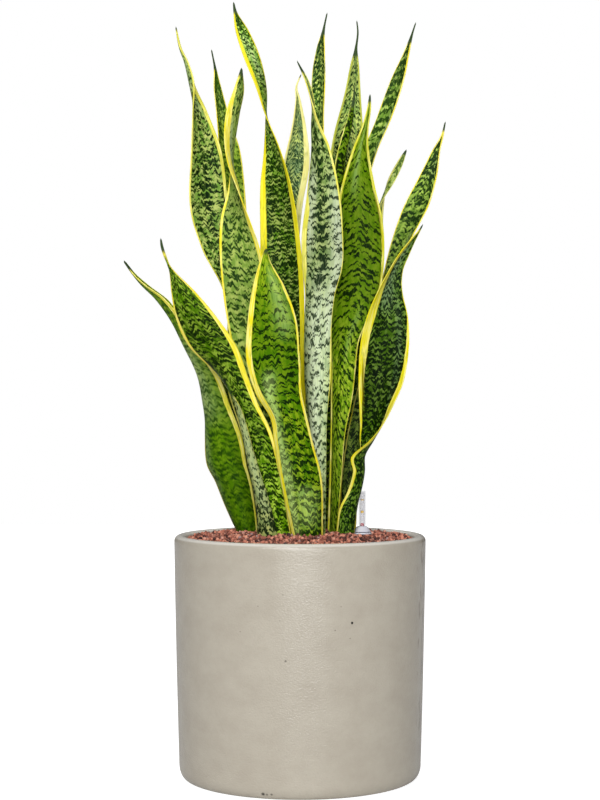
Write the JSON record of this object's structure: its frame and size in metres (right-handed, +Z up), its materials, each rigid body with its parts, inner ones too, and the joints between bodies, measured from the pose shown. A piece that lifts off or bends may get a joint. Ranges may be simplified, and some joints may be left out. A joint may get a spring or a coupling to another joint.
{
  "type": "potted laurentii snake plant",
  "caption": "Round glazed pot of clay granules holding upright, wavy, sword-shaped leaves with yellow margins, and a water level gauge.",
  "frame": {"origin": "middle of the pot's flat base, on the surface that it stands on", "axes": "+Z up along the pot's axis, -Y towards the viewer of the front, +X to the right seen from the front"},
  "size_m": [0.368, 0.28, 0.867],
  "materials": {
    "pot_glaze": "glossy warm grey-beige glaze, faintly mottled",
    "medium": "rough, matt, loose fired clay",
    "granules": "matt terracotta grains",
    "leaf_bright": "satin wax, bright green with dark cross bands and yellow margins",
    "leaf_mottled": "satin wax, grey-green with dark zigzag bands and yellow margins",
    "leaf_dark": "satin wax, dark green with darker cross bands and yellow margins",
    "leaf_pale": "satin wax, pale grey-green with dark zigzag marks and yellow margins",
    "leaf_papery": "dull grey-green with brown papery edges",
    "clear_plastic": "clear, glossy",
    "grey_plastic": "smooth translucent grey",
    "red_plastic": "smooth red"
  },
  "bodies": {
    "root": {"pot": "pot_glaze", "growing_medium": "medium", "clay_granules": "granules", "leaf_front_middle": "leaf_bright", "leaf_front_left": "leaf_bright", "leaf_outer_left": "leaf_bright", "leaf_scale": "leaf_papery", "leaf_tall_left": "leaf_mottled", "leaf_back_left": "leaf_bright", "leaf_folded_left": "leaf_mottled", "leaf_tallest": "leaf_dark", "leaf_middle_back": "leaf_mottled", "leaf_pale_middle": "leaf_pale", "leaf_back_middle": "leaf_mottled", "leaf_back_right": "leaf_mottled", "leaf_narrow_right": "leaf_dark", "leaf_broad_right": "leaf_bright", "leaf_tall_right": "leaf_mottled", "leaf_small_right": "leaf_mottled", "leaf_outer_right": "leaf_mottled", "leaf_twisted_right": "leaf_dark", "gauge_tube": "clear_plastic", "gauge_foot": "grey_plastic", "gauge_float": "red_plastic"}
  },
  "joints": []
}
